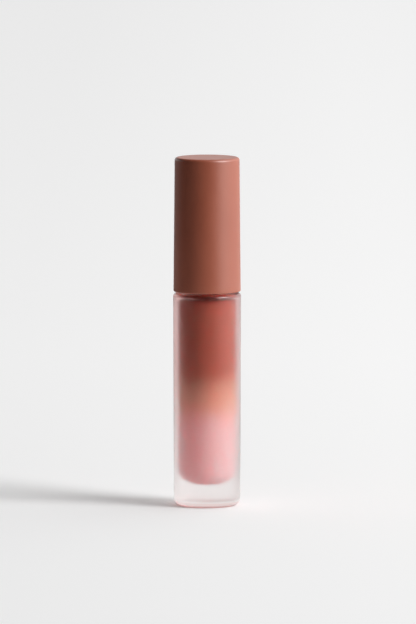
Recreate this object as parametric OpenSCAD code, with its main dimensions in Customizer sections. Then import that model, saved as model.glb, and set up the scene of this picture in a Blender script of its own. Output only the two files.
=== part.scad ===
// Lip gloss tube: a heavy-walled frosted bottle with two pours of gloss, a wiper in its neck
// and a screw cap that carries the wand. Millimetres, +Z up, origin at the centre of the base.
// Each piece is a profile of [radius, height] points turned about Z. The cap's crush ribs and
// fins and the slanted tip of the applicator are extruded or cut afterwards.

/* [Bottle] */
// Height from the table to the shoulder
bottle_h = 63.0; // [52:0.5:76]
// Outer diameter at the shoulder
shoulder_d = 20.0; // [18:0.1:24]
// How much smaller the radius is at the base than at the shoulder
bottle_taper = 0.2; // [0:0.05:0.6]
// Rounding of the heel, where the wall meets the base
heel_r = 2.25; // [1:0.25:4]
// Rounding of the outer shoulder edge
shoulder_r = 1.0; // [0.3:0.1:1.5]
// Diameter of the cavity that holds the gloss
cavity_d = 11.0; // [9.4:0.1:13]
// Rounding at the bottom of the cavity
cavity_floor_r = 4.25; // [2:0.25:6]
// Rounding at the top of the cavity
cavity_roof_r = 1.0; // [0.3:0.1:1.5]
// Thickness of the glass under the cavity
floor_t = 6.5; // [4:0.25:9]
// Thickness of the glass between the cavity and the shoulder
shoulder_t = 1.8; // [1.2:0.1:3]
// Diameter of the hollow under the base, inside the ring that the bottle stands on
hollow_d = 9.0; // [6:0.5:10]
// Depth of the hollow under the base
hollow_h = 0.4; // [0.2:0.1:0.8]

/* [Neck] */
// Height of the neck above the shoulder
neck_h = 11.4; // [10:0.2:14]
// Outer diameter of the neck
neck_d = 11.5; // [11:0.1:11.8]
// Bore of the neck
neck_bore_d = 8.2; // [7.6:0.1:8.8]
// Rounding where the neck rises from the shoulder
neck_root_r = 0.4; // [0.2:0.05:0.6]
// How far the bead round the neck stands out
neck_bead_r = 0.6; // [0.4:0.05:0.7]
// Height of the middle of the bead above the shoulder
neck_bead_rise = 1.6; // [1.3:0.1:2]
// Bevel on the lip of the neck
neck_bevel = 0.3; // [0.1:0.05:0.5]

/* [Gloss] */
// Depth of the lower pour, from the cavity floor to where the colours meet
lower_pour_h = 26.5; // [15:0.5:40]
// Air between the top of the gloss and the wiper
air_gap = 3.9; // [2:0.1:6]
// Gap between the gloss and the glass
gloss_gap = 0.02; // [0.01:0.01:0.05]
// Gap between the gloss and the wand
well_gap = 0.2; // [0.1:0.05:0.4]

/* [Wiper] */
// Thickness of the flange that sits on the lip of the neck
flange_t = 0.8; // [0.5:0.1:1.2]
// Length of the wiper below its flange
wiper_l = 9.0; // [8:0.2:9.6]
// Wall of the wiper's barrel
wiper_wall = 0.8; // [0.5:0.05:1]
// Gap between the wiper's barrel and the neck bore
wiper_gap = 0.05; // [0.02:0.01:0.1]
// Length of the cone under the barrel
wiper_cone_l = 3.0; // [2:0.1:4]
// Wall of the cone at the wiping lip
lip_t = 0.35; // [0.25:0.05:0.6]
// Length of the wiping lip along the wand
lip_l = 0.6; // [0.3:0.1:1.2]
// Gap between the wiping lip and the wand
lip_gap = 0.05; // [0.02:0.01:0.1]
// Number of snap beads round the barrel
snap_count = 2; // [1:1:3]
// Depth of the first snap bead below the lip of the neck
snap_depth = 2.4; // [1.5:0.1:3]
// Distance between snap beads
snap_pitch = 1.6; // [1.2:0.1:2]
// How far a snap bead stands out
snap_out = 0.25; // [0.15:0.05:0.35]

/* [Seal] */
// Thickness of the sealing washer
washer_t = 1.0; // [0.6:0.1:2]
// Gap between the washer and the skirt round it
washer_gap = 0.3; // [0.2:0.05:0.4]
// How far the bead that keeps the washer in the cap laps under it
keeper_lap = 0.25; // [0.15:0.05:0.3]

/* [Cap shell] */
// Height of the cap
cap_h = 39.6; // [30:0.1:48]
// Gap between the cap and the shoulder
cap_gap = 0.4; // [0.3:0.05:1]
// How far the cap's foot stands in from the shoulder
cap_inset = 0.1; // [0:0.05:0.3]
// How much smaller the radius is at the top than at the foot
cap_taper = 0.35; // [0:0.05:0.6]
// Wall of the cap round its seat
cap_wall = 1.2; // [1:0.05:1.25]
// Width of the ledge that the inner cap is pushed up against
ledge_w = 0.6; // [0.3:0.05:0.7]
// Thickness of the cap's roof
cap_roof_t = 1.7; // [1.2:0.1:2.5]
// Rounding of the cap's top edge
cap_top_r = 0.9; // [0.4:0.1:1.1]
// Rounding of the cap's foot
cap_foot_r = 0.3; // [0.2:0.05:0.5]

/* [Inner cap] */
// Gap between the skirt and the bead round the neck
skirt_gap = 0.25; // [0.15:0.05:0.3]
// Wall of the skirt
skirt_wall = 0.8; // [0.6:0.05:0.85]
// How far the inner cap's foot stands up inside the cap's foot
foot_recess = 0.6; // [0.4:0.1:1]
// Thickness of the flange round the skirt's foot
foot_t = 1.0; // [0.6:0.1:1.4]
// Thickness of the deck over the neck
deck_t = 1.5; // [1:0.1:2.5]
// Gap between the inner cap's edges and the cap round them
seat_gap = 0.1; // [0.05:0.01:0.15]
// Number of crush ribs that grip the cap
rib_count = 18; // [8:1:24]
// Width of a crush rib
rib_w = 0.8; // [0.5:0.1:1.2]
// How much a crush rib is squeezed by the cap
rib_crush = 0.05; // [0.02:0.01:0.1]
// Wall of the tower that grips the wand
tower_wall = 1.2; // [0.8:0.1:1.6]
// Gap between the tower and the cap's roof
tower_gap = 0.3; // [0.2:0.05:1]
// Diameter of the core hole above the wand
core_d = 3.4; // [2.4:0.1:4]
// Number of fins that stiffen the tower
fin_count = 4; // [3:1:8]
// Thickness of a fin
fin_t = 1.0; // [0.6:0.1:1.4]
// Share of the tower's height that the fins reach
fin_reach = 0.7; // [0.4:0.05:0.9]
// Gap between the fins and the cap
fin_gap = 0.25; // [0.15:0.05:0.5]

/* [Wand] */
// Diameter of the shank that the wiper wipes
shank_d = 4.6; // [4:0.1:5]
// How far the shank runs on below the wiper
shank_run = 5.0; // [3:0.5:10]
// Diameter of the plug in the tower
plug_d = 5.0; // [4.6:0.1:5.4]
// Length of the plug in the tower
plug_l = 12.0; // [8:0.5:16]
// How much the tower squeezes the plug
plug_squeeze = 0.02; // [0.01:0.01:0.05]
// How far the collar stands out from the plug
collar_out = 1.0; // [0.8:0.1:1.2]
// Gap between the collar and what lies round and under it
collar_gap = 0.2; // [0.15:0.05:0.3]
// Diameter of the slim part of the stem
stem_d = 3.4; // [3:0.1:3.8]
// Length of the cone between the shank and the slim part
stem_cone_l = 3.0; // [1.5:0.5:5]

/* [Applicator] */
// Length of the applicator
tip_l = 15.0; // [12:0.5:18]
// Gap between the applicator and the cavity floor
tip_gap = 2.5; // [1.5:0.25:5]
// How much slimmer the applicator's radius is than the shank's, so that it draws through
tip_slack = 0.1; // [0.05:0.05:0.3]
// Length of the slanted face
slant_l = 9.5; // [7:0.5:11]
// Thickness left at the end of the slanted face
slant_t = 1.4; // [1:0.1:2]
// Depth of the hollow that dishes the slanted face
slant_dish = 0.25; // [0.1:0.05:0.4]
// Diameter of the spigot on the stem
spigot_d = 2.2; // [1.8:0.1:2.4]
// Length of the spigot on the stem
spigot_l = 4.5; // [3:0.5:6]
// How much the applicator squeezes the spigot
spigot_squeeze = 0.02; // [0.01:0.01:0.05]

/* [Hidden] */
$fn = 96;
arc_steps = 10;     // straight pieces in one rounded corner
full_turn = 360;
over = 1;           // how far a cutting shape runs past what it cuts
root = 0.3;         // how far a rib or fin reaches into the wall that carries it
lead_in = 0.4;      // bevel on edges that are pushed into something
floor_flat = 0.2;   // least flat left in the middle of a rounded floor
roof_share = 0.8;   // most of the cavity roof's width that its rounding takes

// Radii
shoulder_rad = shoulder_d / 2;
base_rad = shoulder_rad - bottle_taper;
cavity_rad = cavity_d / 2;
neck_rad = neck_d / 2;
bore_rad = neck_bore_d / 2;
barrel_rad = bore_rad - wiper_gap;
funnel_rad = barrel_rad - wiper_wall;
shank_rad = shank_d / 2;
lip_rad = shank_rad + lip_gap;
well_rad = shank_rad + well_gap;
plug_rad = plug_d / 2;
collar_rad = plug_rad + collar_out;
stem_rad = stem_d / 2;
tip_rad = shank_rad - tip_slack;
spigot_rad = spigot_d / 2;
skirt_bore_rad = neck_rad + neck_bead_r + skirt_gap;
skirt_rad = skirt_bore_rad + skirt_wall;
washer_rad = skirt_bore_rad - washer_gap;
keeper_rad = washer_rad - keeper_lap;
tower_rad = plug_rad + tower_wall;
cap_foot_rad = shoulder_rad - cap_inset;
seat_rad = cap_foot_rad - cap_wall;
ledge_rad = seat_rad - ledge_w;

// Heights
neck_top = bottle_h + neck_h;
bead_z = bottle_h + neck_bead_rise;
cavity_top = bottle_h - shoulder_t;
flange_top = neck_top + flange_t;
wiper_end = neck_top - wiper_l;
deck_z = flange_top + washer_t;
deck_top = deck_z + deck_t;
cap_foot = bottle_h + cap_gap;
cap_top = cap_foot + cap_h;
cap_roof = cap_top - cap_roof_t;
skirt_foot = cap_foot + foot_recess;
tower_top = cap_roof - tower_gap;
plug_top = deck_z + plug_l;
shank_end = wiper_end - shank_run;
tip_z = floor_t + tip_gap;
tip_top = tip_z + tip_l;
colours_meet = floor_t + lower_pour_h;
gloss_top = wiper_end - air_gap;

// Points along an arc about centre c, from angle a to angle b
function arc(c, r, a, b) =
    [for (i = [0:arc_steps]) let (t = a + (b - a) * i / arc_steps) c + r * [cos(t), sin(t)]];

// Radius of the cap's outside at a height
function cap_rad_at(z) = cap_foot_rad - cap_taper * (z - cap_foot) / cap_h;

// Radius of the cap's inside above the ledge at a height
function cap_bore_at(z) = ledge_rad - cap_taper * (z - deck_top) / cap_h;

// Height of a snap bead, counted down from the lip of the neck
function snap_z(i) = neck_top - snap_depth - i * snap_pitch;

// A ramped bead on a wall of radius r, from its steep upper side to its gentle lower side
function snap_bead(r, z, out) = [[r, z + out], [r + out, z], [r, z - 2 * out]];

// The cavity's outline from the neck bore down to its floor, drawn in by a gap
function cavity_side(gap) =
    let (floor_r = min(cavity_floor_r, cavity_rad - gap - floor_flat),
         roof_r = min(cavity_roof_r, (cavity_rad - bore_rad) * roof_share))
    concat(arc([cavity_rad - gap - roof_r, cavity_top - gap - roof_r], roof_r, 90, 0),
           arc([cavity_rad - gap - floor_r, floor_t + gap + floor_r], floor_r, 0, -90),
           [[0, floor_t + gap]]);

module turned(points) {
    rotate_extrude() polygon(points);
}

// A shape drawn in the plane of radius and height, given a thickness round its own radius
module fin(points, thickness, angle) {
    rotate([0, 0, angle]) rotate([90, 0, 0])
        translate([0, 0, -thickness / 2]) linear_extrude(thickness) polygon(points);
}

module round_about(count) {
    for (i = [0:count - 1]) rotate([0, 0, full_turn * i / count]) children();
}

module bottle() {
    hollow_rad = hollow_d / 2;
    grooves = [for (i = [0:snap_count - 1]) each snap_bead(bore_rad, snap_z(i), snap_out)];
    color([0.86, 0.76, 0.74, 0.55]) turned(concat(
        [[0, hollow_h], [hollow_rad - hollow_h, hollow_h], [hollow_rad, 0]],
        arc([base_rad - heel_r, heel_r], heel_r, -90, 0),
        arc([shoulder_rad - shoulder_r, bottle_h - shoulder_r], shoulder_r, 0, 90),
        arc([neck_rad + neck_root_r, bottle_h + neck_root_r], neck_root_r, -90, -180),
        arc([neck_rad, bead_z], neck_bead_r, -90, 90),
        [[neck_rad, neck_top - neck_bevel], [neck_rad - neck_bevel, neck_top]],
        [[bore_rad, neck_top]],
        grooves,
        [[bore_rad, cavity_top]],
        cavity_side(0)));
}

// The gloss between two heights, with the well that the wand stands in
module pour(low, high) {
    difference() {
        intersection() {
            turned(concat([[0, neck_top], [bore_rad - gloss_gap, neck_top]],
                          [[bore_rad - gloss_gap, cavity_top - gloss_gap]],
                          cavity_side(gloss_gap)));
            translate([0, 0, low]) cylinder(r = shoulder_rad, h = high - low);
        }
        translate([0, 0, tip_z - well_gap]) cylinder(r = well_rad, h = neck_top);
    }
}

module gloss_lower() {
    color([0.83, 0.60, 0.60]) pour(0, colours_meet);
}

module gloss_upper() {
    color([0.58, 0.30, 0.25]) pour(colours_meet, gloss_top);
}

module wiper() {
    bead_out = snap_out - wiper_gap;
    beads = [for (i = [0:snap_count - 1]) each snap_bead(barrel_rad, snap_z(i), bead_out)];
    flange_rad = neck_rad - wiper_gap;
    cone_top = wiper_end + wiper_cone_l;
    color([0.93, 0.91, 0.88]) turned(concat(
        [[funnel_rad + lead_in, flange_top], [flange_rad, flange_top], [flange_rad, neck_top]],
        [[barrel_rad, neck_top]],
        beads,
        [[barrel_rad, cone_top], [lip_rad + lip_t, wiper_end], [lip_rad, wiper_end]],
        [[lip_rad, wiper_end + lip_l], [funnel_rad, cone_top + lip_l]],
        [[funnel_rad, flange_top - lead_in]]));
}

module seal_washer() {
    hole_rad = collar_rad + collar_gap;
    color([0.95, 0.94, 0.90]) turned([
        [hole_rad, flange_top], [washer_rad, flange_top],
        [washer_rad, deck_z], [hole_rad, deck_z]]);
}

module cap_shell() {
    bore_top_rad = cap_bore_at(cap_roof);
    color([0.72, 0.45, 0.37]) turned(concat(
        [[seat_rad + lead_in, cap_foot]],
        arc([cap_foot_rad - cap_foot_r, cap_foot + cap_foot_r], cap_foot_r, -90, 0),
        arc([cap_rad_at(cap_top - cap_top_r) - cap_top_r, cap_top - cap_top_r], cap_top_r, 0, 90),
        [[0, cap_top], [0, cap_roof]],
        arc([bore_top_rad - cap_top_r, cap_roof - cap_top_r], cap_top_r, 90, 0),
        [[ledge_rad, deck_top], [seat_rad, deck_top], [seat_rad, cap_foot + lead_in]]));
}

module inner_cap() {
    edge_rad = seat_rad - seat_gap;
    grip_rad = seat_rad + rib_crush;
    fin_top = deck_top + (tower_top - deck_top) * fin_reach;
    fin_rad = cap_bore_at(fin_top) - fin_gap;
    keeper_z = flange_top - wiper_gap;
    keeper_out = skirt_bore_rad - keeper_rad;
    color([0.90, 0.87, 0.84]) {
        turned(concat(
            [[skirt_bore_rad, skirt_foot], [edge_rad, skirt_foot], [edge_rad, skirt_foot + foot_t]],
            [[skirt_rad, skirt_foot + foot_t], [skirt_rad, deck_z], [edge_rad, deck_z]],
            [[edge_rad, deck_top], [tower_rad, deck_top], [tower_rad, tower_top - lead_in]],
            [[tower_rad - lead_in, tower_top], [core_d / 2, tower_top], [core_d / 2, plug_top]],
            [[plug_rad, plug_top], [plug_rad, deck_z], [skirt_bore_rad, deck_z]],
            [[skirt_bore_rad, keeper_z], [keeper_rad, keeper_z - keeper_out / 2]],
            [[skirt_bore_rad, keeper_z - 2 * keeper_out]]));
        round_about(rib_count) fin([
            [skirt_rad - root, skirt_foot + foot_t - root], [edge_rad, skirt_foot + foot_t - root],
            [grip_rad, skirt_foot + foot_t], [grip_rad, deck_z - lead_in],
            [edge_rad, deck_z + root], [skirt_rad - root, deck_z + root]], rib_w, 0);
        round_about(fin_count) fin([
            [tower_rad - root, deck_top - root], [fin_rad, deck_top - root],
            [fin_rad, deck_top + fin_t], [tower_rad + fin_t, fin_top],
            [tower_rad - root, fin_top]], fin_t, 0);
    }
}

module wand_stem() {
    press_rad = plug_rad + plug_squeeze;
    grip_rad = spigot_rad + spigot_squeeze;
    collar_z = flange_top + collar_gap;
    color([0.88, 0.82, 0.78]) turned([
        [0, tip_top - spigot_l], [grip_rad - lead_in, tip_top - spigot_l],
        [grip_rad, tip_top - spigot_l + lead_in], [grip_rad, tip_top], [stem_rad, tip_top],
        [stem_rad, shank_end - stem_cone_l], [shank_rad, shank_end], [shank_rad, collar_z],
        [collar_rad, collar_z], [collar_rad, deck_z], [press_rad, deck_z],
        [press_rad, plug_top - lead_in], [press_rad - lead_in, plug_top], [0, plug_top]]);
}

module applicator_tip() {
    neck_in = tip_rad - stem_rad;
    slant_in = 2 * tip_rad - slant_t;
    face_l = norm([slant_in, slant_l]);
    dish_rad = (pow(face_l / 2, 2) + pow(slant_dish, 2)) / (2 * slant_dish);
    face_mid = [tip_rad - slant_t - slant_in / 2, tip_z + slant_l / 2];
    outward = [-slant_l, -slant_in] / face_l;
    dish_centre = face_mid + outward * (dish_rad - slant_dish);
    color([0.93, 0.80, 0.78]) difference() {
        turned(concat(
            arc([0, tip_z + tip_rad], tip_rad, -90, 0),
            [[tip_rad, tip_top - 2 * neck_in], [stem_rad, tip_top], [spigot_rad, tip_top]],
            [[spigot_rad, tip_top - spigot_l], [0, tip_top - spigot_l]]));
        translate([0, dish_centre[0], dish_centre[1]]) rotate([0, 90, 0])
            cylinder(r = dish_rad, h = 2 * (tip_rad + over), center = true);
    }
}

bottle();
gloss_lower();
gloss_upper();
wiper();
seal_washer();
cap_shell();
inner_cap();
wand_stem();
applicator_tip();
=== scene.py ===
"""Looks of a lip gloss tube: frosted glass, two-tone gloss, a matte cap and its wand.

Everything is in metres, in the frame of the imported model: +Z up, origin at the centre of the
base. Round pieces are turned from an outline of (radius, height) points. Screw threads and the
flock on the applicator are grown by Geometry Nodes.
"""

import logging
import math
from collections.abc import Callable, Iterable, Sequence
from dataclasses import dataclass, field
from enum import Enum

import bpy
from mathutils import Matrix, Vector


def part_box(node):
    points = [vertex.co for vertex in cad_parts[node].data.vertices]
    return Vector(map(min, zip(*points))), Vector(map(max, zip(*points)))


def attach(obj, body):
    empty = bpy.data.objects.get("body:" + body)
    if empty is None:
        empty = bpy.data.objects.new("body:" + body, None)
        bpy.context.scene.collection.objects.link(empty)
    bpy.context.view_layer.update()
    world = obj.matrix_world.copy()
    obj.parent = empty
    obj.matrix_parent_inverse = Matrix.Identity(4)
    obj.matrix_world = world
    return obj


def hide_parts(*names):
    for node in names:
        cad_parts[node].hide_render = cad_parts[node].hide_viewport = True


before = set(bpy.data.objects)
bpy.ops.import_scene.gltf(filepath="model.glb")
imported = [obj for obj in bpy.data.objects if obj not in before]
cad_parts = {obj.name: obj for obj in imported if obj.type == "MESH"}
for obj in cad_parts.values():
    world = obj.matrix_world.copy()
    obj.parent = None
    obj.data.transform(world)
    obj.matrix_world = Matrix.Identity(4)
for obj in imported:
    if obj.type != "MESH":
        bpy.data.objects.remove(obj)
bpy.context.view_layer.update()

log = logging.getLogger("lip_gloss_tube")

MM = 0.001
ROUND = 160  # faces round a turned piece
ARC_STEP = math.radians(7.5)  # turn of one straight piece in a rounded corner
RUN_STEP = 1.2 * MM  # longest straight piece between corners
CREASE = math.radians(32)  # corners sharper than this stay sharp
ONE_POINT = 1e-9  # outline points closer than this are the same point
ON_AXIS = 1e-7  # an outline point nearer to Z than this lies on it
NOISE_RANGE = (0.3, 0.7)  # where nearly all of a noise pattern lies
NOISE_MIDDLE = (0.35, 0.65)  # a narrower range, for patches with clearer edges
BOUNCED = 0.5  # a ray's diffuse depth is over this once it has left a matte surface

Point = tuple[float, float]
Socket = bpy.types.NodeSocket


# ---------------------------------------------------------------- colours and shader nodes


@dataclass(frozen=True)
class Tone:
    """A colour as the eye reads it, with each channel from 0 to 255."""

    red: int
    green: int
    blue: int

    def linear(self) -> tuple[float, float, float, float]:
        """Return the colour as light, with full alpha."""

        def light(value: int) -> float:
            """Return one channel as light."""
            share = value / 255
            return share / 12.92 if share <= 0.04045 else ((share + 0.055) / 1.055) ** 2.4

        return light(self.red), light(self.green), light(self.blue), 1.0


class NodeSketch:
    """A node tree under construction, with short calls for the nodes that it uses."""

    def __init__(self, tree: bpy.types.NodeTree) -> None:
        """Start with an empty tree.

        Args:
            tree: The node tree of a material, of the world or of a modifier.
        """
        self.tree = tree
        self.tree.nodes.clear()

    def node(
        self, kind: str, options: dict[str, object] | None = None, **sockets: object
    ) -> bpy.types.Node:
        """Add a node, choose its options and fill its inputs.

        Args:
            kind: Blender's name of the node.
            options: Properties of the node.
            **sockets: Input names, with _ for a space, and a value or a socket for each.

        Returns:
            The new node.
        """
        made = self.tree.nodes.new(kind)
        for label, value in (options or {}).items():
            setattr(made, label, value)
        for label, value in sockets.items():
            self.feed(made.inputs[label.replace("_", " ")], value)
        return made

    def feed(self, target: Socket, value: object) -> None:
        """Set an input to a value, or link a socket to it."""
        if isinstance(value, Socket):
            self.tree.links.new(value, target)
        elif isinstance(value, Tone):
            target.default_value = value.linear()
        else:
            target.default_value = value

    def math(self, kind: str, first: object, second: object = 0.0) -> Socket:
        """Return the result of one sum."""
        made = self.node("ShaderNodeMath", {"operation": kind})
        self.feed(made.inputs[0], first)
        self.feed(made.inputs[1], second)
        return made.outputs[0]

    def span(
        self,
        value: Socket,
        low: float,
        high: float,
        to_low: float = 0.0,
        to_high: float = 1.0,
        smooth: bool = False,
    ) -> Socket:
        """Return a value moved from one range to another, and held at its ends.

        Args:
            value: The value to move.
            low: Start of its range.
            high: End of its range.
            to_low: Result at the start.
            to_high: Result at the end.
            smooth: True for a run that eases in and out.

        Returns:
            The moved value.
        """
        ease = "SMOOTHSTEP" if smooth else "LINEAR"
        made = self.node(
            "ShaderNodeMapRange",
            {"interpolation_type": ease},
            Value=value,
            From_Min=low,
            From_Max=high,
            To_Min=to_low,
            To_Max=to_high,
        )
        return made.outputs["Result"]

    def blend(self, share: object, first: object, second: object, kind: str = "MIX") -> Socket:
        """Return a colour mixed from two others.

        Args:
            share: How much of the second colour is taken, from 0 to 1.
            first: The first colour.
            second: The second colour.
            kind: Blender's name for the way of mixing.

        Returns:
            The mixed colour.
        """
        made = self.node("ShaderNodeMix", {"data_type": "RGBA", "blend_type": kind})
        self.feed(made.inputs["Factor"], share)
        self.feed(made.inputs[6], first)
        self.feed(made.inputs[7], second)
        return made.outputs[2]

    def choose(self, share: object, first: Socket, second: Socket) -> Socket:
        """Return a shader that turns from the first into the second as a share goes to 1."""
        made = self.node("ShaderNodeMixShader", Fac=share)
        self.feed(made.inputs[1], first)
        self.feed(made.inputs[2], second)
        return made.outputs[0]

    def axes(self, place: Socket) -> tuple[Socket, Socket, Socket]:
        """Return the three parts of a place or direction."""
        parts = self.node("ShaderNodeSeparateXYZ", Vector=place).outputs
        return parts["X"], parts["Y"], parts["Z"]

    def plain_view(self) -> Socket:
        """Return 1 for rays that the camera sends, straight or through glass, and 0 for others."""
        rays = self.node("ShaderNodeLightPath").outputs
        clear = self.math("MAXIMUM", rays["Is Camera Ray"], rays["Is Transmission Ray"])
        unbounced = self.math("LESS_THAN", rays["Diffuse Depth"], BOUNCED)
        return self.math("MULTIPLY", clear, unbounced)


class ShaderSketch(NodeSketch):
    """A material under construction."""

    def __init__(self, name: str) -> None:
        """Start an empty material.

        Args:
            name: The finish in a maker's words.
        """
        self.material = bpy.data.materials.new(name)
        self.material.use_nodes = True
        super().__init__(self.material.node_tree)
        self.out = self.tree.nodes.new("ShaderNodeOutputMaterial")
        self.place = self.tree.nodes.new("ShaderNodeTexCoord").outputs["Object"]

    def noise(self, size: float, detail: float = 2.0, stretch: float = 1.0) -> Socket:
        """Return a noise pattern on Object coordinates.

        Args:
            size: Width of one patch, in metres.
            detail: How many finer layers are added.
            stretch: How many times longer a patch is along Z than across.

        Returns:
            The pattern, from 0 to 1.
        """
        mapping = self.node("ShaderNodeMapping", Vector=self.place, Scale=(1, 1, 1 / stretch))
        made = self.node(
            "ShaderNodeTexNoise", Vector=mapping.outputs[0], Scale=1 / size, Detail=detail
        )
        return made.outputs["Fac"]

    def ramp(self, value: Socket, stops: Sequence[tuple[float, Tone]]) -> Socket:
        """Return a colour that runs through stops as a value goes from 0 to 1."""
        made = self.node("ShaderNodeValToRGB", Fac=value)
        made.color_ramp.interpolation = "EASE"
        points = made.color_ramp.elements
        while len(points) < len(stops):
            points.new(0.5)
        for point, (position, tone) in zip(points, stops):
            point.position = position
            point.color = tone.linear()
        return made.outputs["Color"]

    def by_height(self, stops: Sequence[tuple[float, Tone]]) -> Socket:
        """Return a colour that runs through stops, each with its height above the base."""
        top = stops[-1][0]
        share = self.math("DIVIDE", self.height(), top)
        return self.ramp(share, [(level / top, tone) for level, tone in stops])

    def bump(self, height: Socket, depth: float) -> Socket:
        """Return a normal that follows a height.

        Args:
            height: The pattern, from 0 to 1.
            depth: Real depth of the relief, in metres.

        Returns:
            The normal.
        """
        made = self.node("ShaderNodeBump", Height=height, Distance=depth, Strength=1.0)
        return made.outputs["Normal"]

    def height(self) -> Socket:
        """Return the height above the base, in metres."""
        return self.axes(self.place)[2]

    def finished(self, shader: Socket) -> bpy.types.Material:
        """Close the material with its shader."""
        self.tree.links.new(shader, self.out.inputs["Surface"])
        return self.material


@dataclass(frozen=True)
class FrostedGlass:
    """Thick glass whose outer skin is etched to a fine satin grain.

    The skin has a tint by height, painted light that stands in for the colour the gloss and the
    floor bleed into the glass, with painted shade in a dark line at the foot and under the cap.
    A lamp's ray meets a plain pane in its place, whose greys set how much light comes through.
    """

    name: str = "frosted glass"
    bend: float = 1.57
    ridge_roughness: float = 0.28
    pit_roughness: float = 0.75
    pit_share: float = 0.68  # height of the grain over which a spot is a pit
    pit_edge: float = 0.05
    grain: float = 0.14 * MM
    grain_depth: float = 0.004 * MM
    cloud: float = 2.6 * MM
    cloud_swing: float = 0.06
    tints_with_painted_light: tuple[tuple[float, Tone], ...] = (
        (0.0, Tone(178, 106, 102)),
        (0.35 * MM, Tone(178, 106, 102)),  # painted shade: the dark line along the foot
        (0.7 * MM, Tone(231, 199, 196)),
        (1.1 * MM, Tone(231, 199, 196)),  # the rounded heel, with a painted pink reflection of the gloss
        (1.87 * MM, Tone(249, 244, 243)),
        (5.0 * MM, Tone(249, 244, 243)),  # the solid base
        (18.0 * MM, Tone(252, 240, 238)),  # painted colour bleed beside the pink pour
        (44.0 * MM, Tone(252, 219, 216)),  # painted colour bleed beside the terracotta pour
        (61.65 * MM, Tone(252, 219, 216)),
        (62.1 * MM, Tone(222, 148, 142)),  # painted shade under the cap, at the turn of the shoulder
        (63.3 * MM, Tone(222, 148, 142)),
        (63.9 * MM, Tone(250, 247, 245)),  # the neck
    )
    panes: tuple[tuple[float, Tone], ...] = (
        (5.0 * MM, Tone(154, 152, 151)),
        (8.0 * MM, Tone(146, 144, 143)),
        (18.0 * MM, Tone(146, 144, 143)),
        (39.6 * MM, Tone(170, 168, 167)),
    )

    def material(self) -> bpy.types.Material:
        """Return the etched skin, a fine mix of smoother ridges and deep, rough pits."""
        sketch = ShaderSketch(self.name)
        patches = sketch.noise(self.cloud, detail=3)
        cloud = sketch.span(patches, *NOISE_RANGE, -self.cloud_swing, self.cloud_swing)
        grain = sketch.noise(self.grain)
        etched = sketch.math("ADD", grain, cloud)
        low = self.pit_share - self.pit_edge
        high = self.pit_share + self.pit_edge
        # The base colour by height carries the painted colour bleed and the painted shade of the tints.
        body = sketch.node(
            "ShaderNodeBsdfPrincipled",
            Base_Color=sketch.by_height(self.tints_with_painted_light),
            IOR=self.bend,
            Transmission_Weight=1.0,
            Roughness=sketch.span(etched, low, high, self.ridge_roughness, self.pit_roughness),
            Normal=sketch.bump(grain, self.grain_depth),
        )
        pane = sketch.by_height(self.panes)
        return sketch.finished(let_lamps_through(sketch, body.outputs[0], pane))


@dataclass(frozen=True)
class ClearGlass:
    """The polished inside of the bottle, where the gloss wets the glass."""

    tint: Tone = Tone(250, 247, 245)
    bend: float = 1.57
    roughness: float = 0.03
    ripple: float = 4.0 * MM
    ripple_depth: float = 0.004 * MM

    def material(self) -> bpy.types.Material:
        """Return the clear wall."""
        sketch = ShaderSketch("clear inner glass")
        body = sketch.node(
            "ShaderNodeBsdfPrincipled",
            Base_Color=self.tint,
            IOR=self.bend,
            Transmission_Weight=1.0,
            Roughness=self.roughness,
            Normal=sketch.bump(sketch.noise(self.ripple), self.ripple_depth),
        )
        return sketch.finished(body.outputs[0])


def let_lamps_through(sketch: ShaderSketch, shader: Socket, tint: Socket) -> Socket:
    """Return a glass shader that casts no hard shadow on what it holds.

    Args:
        sketch: The material being built.
        shader: The glass.
        tint: Colour that the light takes on its way through.

    Returns:
        The glass for every ray but a lamp's, and a clear pane for those.
    """
    rays = sketch.node("ShaderNodeLightPath")
    pane = sketch.node("ShaderNodeBsdfTransparent", Color=tint)
    return sketch.choose(rays.outputs["Is Shadow Ray"], shader, pane.outputs[0])


@dataclass(frozen=True)
class TwoToneGloss:
    """Creamy gloss that turns from pink below to terracotta above.

    Light goes deep into the pink pour and stays near the skin of the terracotta one.
    """

    pink: Tone = Tone(238, 198, 201)
    rose: Tone = Tone(218, 171, 151)
    terracotta: Tone = Tone(188, 108, 91)
    low: float = 23.0 * MM  # where the pink starts to turn
    high: float = 41.0 * MM  # where the terracotta is pure
    drift: float = 9.0 * MM
    drift_height: float = 2.5 * MM
    mottle: float = 3.0 * MM
    mottle_shade: tuple[float, float] = (0.94, 1.04)
    roughness: float = 0.32
    shine: float = 0.15
    pink_depth: float = 16.0 * MM
    terracotta_depth: float = 2.0 * MM
    spread: tuple[float, float, float] = (1.0, 0.14, 0.14)

    def material(self) -> bpy.types.Material:
        """Return the gloss, whose colours meet in a soft, slightly uneven band."""
        sketch = ShaderSketch("two tone gloss")
        wander = sketch.span(sketch.noise(self.drift), 0, 1, -self.drift_height, self.drift_height)
        level = sketch.math("ADD", sketch.height(), wander)
        share = sketch.span(level, self.low, self.high, 0, 1)
        pour = sketch.ramp(share, ((0, self.pink), (0.5, self.rose), (1, self.terracotta)))
        mottle = sketch.span(sketch.noise(self.mottle, detail=4), *NOISE_RANGE, *self.mottle_shade)
        shade = sketch.node("ShaderNodeCombineColor", Red=mottle, Green=mottle, Blue=mottle)
        body = sketch.node(
            "ShaderNodeBsdfPrincipled",
            Base_Color=sketch.blend(1.0, pour, shade.outputs[0], kind="MULTIPLY"),
            Roughness=self.roughness,
            Specular_IOR_Level=self.shine,
            Subsurface_Weight=1.0,
            Subsurface_Radius=self.spread,
            Subsurface_Scale=sketch.span(share, 0, 1, self.pink_depth, self.terracotta_depth),
        )
        return sketch.finished(body.outputs[0])


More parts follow.
